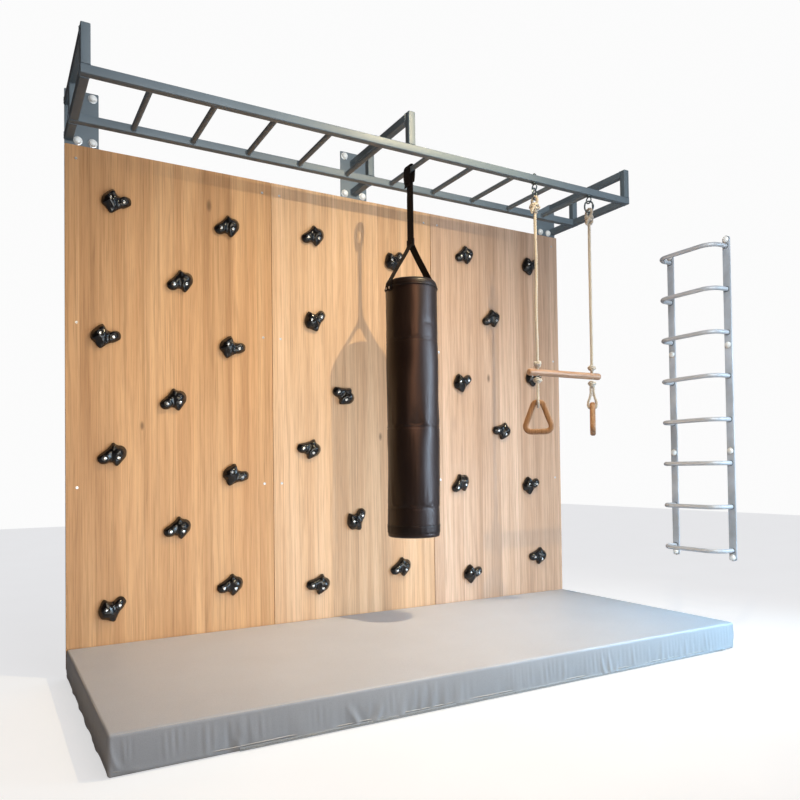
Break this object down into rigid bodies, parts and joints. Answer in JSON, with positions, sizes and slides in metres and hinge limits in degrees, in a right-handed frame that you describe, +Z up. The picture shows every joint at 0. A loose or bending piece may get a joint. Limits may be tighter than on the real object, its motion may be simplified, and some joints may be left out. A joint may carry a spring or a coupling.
{
  "type": "rock climbing wall",
  "caption": "Indoor climbing wall of oak-faced panels with bolt-on holds, overhead monkey bars on wall brackets, hanging punch bag, trapeze with rings, wall ladder and landing mat.",
  "frame": {"origin": "middle of the landing mat's underside, on the floor", "axes": "+Z up, +X along the wall to the right seen from the room, +Y into the wall"},
  "size_m": [2.703, 1.031, 2.19],
  "materials": {
    "oak_panel": "light oak laminate, fine vertical grain, satin",
    "hold_plastic": "glossy moulded black plastic",
    "frame_paint": "slate blue-grey powder coat, satin",
    "ladder_paint": "light blue-grey coated steel",
    "zinc": "zinc-plated steel",
    "mat_vinyl": "satin grey vinyl",
    "foam": "open-cell foam block",
    "bag_vinyl": "black vinyl with a soft sheen",
    "bag_fill": "shredded textile filling",
    "webbing": "black polyester webbing",
    "rope": "cream twisted rope",
    "beech": "turned beech, satin varnish"
  },
  "bodies": {
    "root": {"panel_left": "oak_panel", "panel_middle": "oak_panel", "panel_right": "oak_panel", "hold_01": "hold_plastic", "hold_02": "hold_plastic", "hold_03": "hold_plastic", "hold_04": "hold_plastic", "hold_05": "hold_plastic", "hold_06": "hold_plastic", "hold_07": "hold_plastic", "hold_08": "hold_plastic", "hold_09": "hold_plastic", "hold_10": "hold_plastic", "hold_11": "hold_plastic", "hold_12": "hold_plastic", "hold_13": "hold_plastic", "hold_14": "hold_plastic", "hold_15": "hold_plastic", "hold_16": "hold_plastic", "hold_17": "hold_plastic", "hold_18": "hold_plastic", "hold_19": "hold_plastic", "hold_20": "hold_plastic", "hold_21": "hold_plastic", "hold_22": "hold_plastic", "hold_23": "hold_plastic", "hold_24": "hold_plastic", "hold_25": "hold_plastic", "hold_26": "hold_plastic", "hold_27": "hold_plastic", "hold_28": "hold_plastic", "hold_29": "hold_plastic", "hold_30": "hold_plastic", "hold_31": "hold_plastic", "monkey_bar_frame": "frame_paint", "bracket_left": "frame_paint", "bracket_middle": "frame_paint", "bracket_right": "frame_paint", "mat_cover": "mat_vinyl", "mat_foam": "foam", "wall_ladder": "ladder_paint", "eye_bolt_left": "zinc", "eye_bolt_right": "zinc"},
    "bag_loop": {"bag_loop": "webbing"},
    "bag_strap": {"bag_strap": "webbing"},
    "bag": {"bag_leg_straps": "webbing", "bag_cover": "bag_vinyl", "bag_filling": "bag_fill"},
    "hook_left": {"snap_hook_left": "zinc"},
    "hook_right": {"snap_hook_right": "zinc"},
    "rope_left": {"rope_left": "rope"},
    "rope_right": {"rope_right": "rope"},
    "bar": {"trapeze_bar": "beech"},
    "knot_left": {"ring_knot_left": "rope"},
    "cord_left": {"ring_cord_left": "rope"},
    "ring_left": {"ring_left": "beech"},
    "knot_right": {"ring_knot_right": "rope"},
    "cord_right": {"ring_cord_right": "rope"},
    "ring_right": {"ring_right": "beech"}
  },
  "joints": [
    {"name": "bag_swing_side", "type": "hinge", "parent": "root", "child": "bag_loop", "pos_m": [0.0985, 0.1885, 2.01], "axis": [0, 1, 0], "range_deg": [-18, 18]},
    {"name": "bag_swing_out", "type": "hinge", "parent": "bag_loop", "child": "bag_strap", "pos_m": [0.0985, 0.1885, 1.95], "axis": [1, 0, 0], "range_deg": [-30, 5]},
    {"name": "bag_twist", "type": "hinge", "parent": "bag_strap", "child": "bag", "pos_m": [0.0985, 0.1885, 1.697], "axis": [0, 0, 1], "range_deg": [-90, 90]},
    {"name": "trapeze_swing", "type": "hinge", "parent": "root", "child": "hook_left", "pos_m": [0.63, 0.015, 1.966], "axis": [1, 0, 0], "range_deg": [-35, 15]},
    {"name": "hook_right_swing", "type": "hinge", "parent": "root", "child": "hook_right", "pos_m": [0.952, 0.015, 1.966], "axis": [1, 0, 0], "range_deg": [-35, 15]},
    {"name": "trapeze_sway", "type": "hinge", "parent": "hook_left", "child": "rope_left", "pos_m": [0.63, 0.015, 1.927], "axis": [0, 1, 0], "range_deg": [-10, 10]},
    {"name": "rope_right_sway", "type": "hinge", "parent": "hook_right", "child": "rope_right", "pos_m": [0.952, 0.015, 1.927], "axis": [0, 1, 0], "range_deg": [-10, 10]},
    {"name": "bar_level", "type": "hinge", "parent": "rope_left", "child": "bar", "pos_m": [0.63, 0.015, 1.163], "axis": [0, 1, 0], "range_deg": [-10, 10]},
    {"name": "ring_left_swing", "type": "hinge", "parent": "bar", "child": "knot_left", "pos_m": [0.63, 0.015, 1.163], "axis": [1, 0, 0], "range_deg": [-20, 20]},
    {"name": "ring_left_twist", "type": "hinge", "parent": "knot_left", "child": "cord_left", "pos_m": [0.63, 0.015, 1.1345], "axis": [0, 0, 1], "range_deg": [-90, 90]},
    {"name": "ring_left_rock", "type": "hinge", "parent": "cord_left", "child": "ring_left", "pos_m": [0.63, 0.015, 1.032], "axis": [0.7547, -0.6561, 0], "range_deg": [-40, 40]},
    {"name": "ring_right_swing", "type": "hinge", "parent": "bar", "child": "knot_right", "pos_m": [0.952, 0.015, 1.163], "axis": [1, 0, 0], "range_deg": [-20, 20]},
    {"name": "ring_right_twist", "type": "hinge", "parent": "knot_right", "child": "cord_right", "pos_m": [0.952, 0.015, 1.1345], "axis": [0, 0, 1], "range_deg": [-90, 90]},
    {"name": "ring_right_rock", "type": "hinge", "parent": "cord_right", "child": "ring_right", "pos_m": [0.952, 0.015, 1.032], "axis": [0.7071, 0.7071, 0], "range_deg": [-40, 40]}
  ],
  "couplings": [
    {"joint": "hook_right_swing", "follows": "trapeze_swing", "ratio": 1},
    {"joint": "rope_right_sway", "follows": "trapeze_sway", "ratio": 1},
    {"joint": "bar_level", "follows": "trapeze_sway", "ratio": -1}
  ]
}
